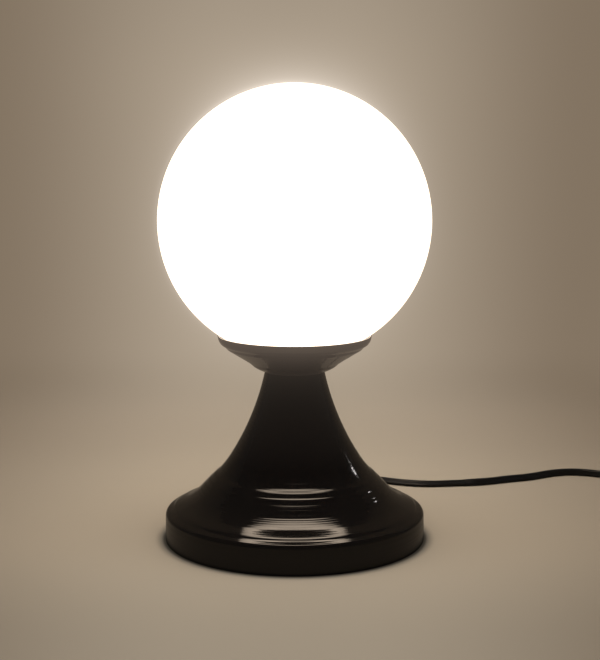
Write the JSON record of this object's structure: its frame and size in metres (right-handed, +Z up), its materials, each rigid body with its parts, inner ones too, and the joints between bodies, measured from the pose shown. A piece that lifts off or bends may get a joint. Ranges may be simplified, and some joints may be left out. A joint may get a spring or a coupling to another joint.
{
  "type": "table lamp",
  "caption": "Table lamp: an opal glass ball in a stepped gallery on a trumpet stem with a wide ledged foot; screw-in bulb that unscrews, rocker switch and coiled lead with plug.",
  "frame": {"origin": "on the surface that the lamp stands on, under the middle of the foot", "axes": "+Z up along the lamp's axis, +Y to the back where the flex leaves the foot, +X to the side where the flex, switch and plug lie"},
  "size_m": [0.5284, 0.2846, 0.3372],
  "materials": {
    "black_enamel": "gloss",
    "cast_iron": "as cast, matte",
    "cover_steel": "satin",
    "felt": "felted",
    "zinc_steel": "bright zinc plated",
    "spring_steel": "bright rolled",
    "flex_sheath": "satin",
    "black_rubber": "satin",
    "bakelite": "moulded, gloss",
    "porcelain": "glazed",
    "brass": "bright rolled",
    "brown_insulation": "smooth",
    "blue_insulation": "smooth",
    "black_plastic": "moulded, satin",
    "rocker_plastic": "moulded, gloss",
    "tie_plastic": "satin",
    "nickel": "bright nickel",
    "opal_glass": "gloss, opaque white",
    "cap_glass": "gloss",
    "bulb_white": "satin",
    "bulb_frosted": "frosted",
    "circuit_white": "coated",
    "circuit_green": "coated"
  },
  "bodies": {
    "root": {"stand_shell": "black_enamel", "base_weight": "cast_iron", "base_cover": "cover_steel", "base_felt": "felt", "cover_screws": "zinc_steel", "support_tube": "zinc_steel", "lower_nut": "zinc_steel", "lower_washer": "zinc_steel", "cord_clamp": "zinc_steel", "clamp_screws": "zinc_steel", "inner_flex": "flex_sheath", "strain_relief": "black_rubber", "gallery": "black_enamel", "globe_spring": "spring_steel", "upper_washer": "zinc_steel", "upper_nut": "zinc_steel", "lampholder_cap": "bakelite", "holder_lock_screw": "zinc_steel", "lampholder_shell": "bakelite", "lampholder_insert": "porcelain", "thread_sleeve": "brass", "centre_tongue": "brass", "terminal_blocks": "brass", "terminal_screws": "zinc_steel", "live_core": "brown_insulation", "neutral_core": "blue_insulation", "switch_base": "black_plastic", "switch_cover": "black_plastic", "switch_contacts": "brass", "switch_screws": "zinc_steel", "flex_run": "flex_sheath", "flex_link": "flex_sheath", "flex_coil": "flex_sheath", "flex_tail": "flex_sheath", "coil_tie": "tie_plastic", "plug_body": "black_rubber", "plug_pins": "nickel"},
    "globe": {"globe": "opal_glass"},
    "bulb_carrier": {"bulb_contact": "nickel"},
    "bulb": {"bulb_cap": "nickel", "bulb_insulator": "cap_glass", "bulb_housing": "bulb_white", "bulb_diffuser": "bulb_frosted", "led_board": "circuit_white", "driver_board": "circuit_green"},
    "rocker": {"switch_rocker": "rocker_plastic", "contact_bridge": "brass"}
  },
  "joints": [
    {"name": "globe_lift", "type": "slide", "parent": "root", "child": "globe", "axis": [0, 0, 1], "range_m": [0, 0.15]},
    {"name": "bulb_rise", "type": "slide", "parent": "root", "child": "bulb_carrier", "axis": [0, 0, 1], "range_m": [0, 0.0127]},
    {"name": "bulb_turn", "type": "hinge", "parent": "bulb_carrier", "child": "bulb", "pos_m": [0, 0, 0.18], "axis": [0, 0, 1], "range_deg": [0, 1260]},
    {"name": "rocker_tilt", "type": "hinge", "parent": "root", "child": "rocker", "pos_m": [0.318, 0.05, 0.011], "axis": [1, 0, 0], "range_deg": [-16, 0]}
  ],
  "couplings": [
    {"joint": "bulb_turn", "follows": "bulb_rise", "rad_per_m": 1730.9}
  ]
}
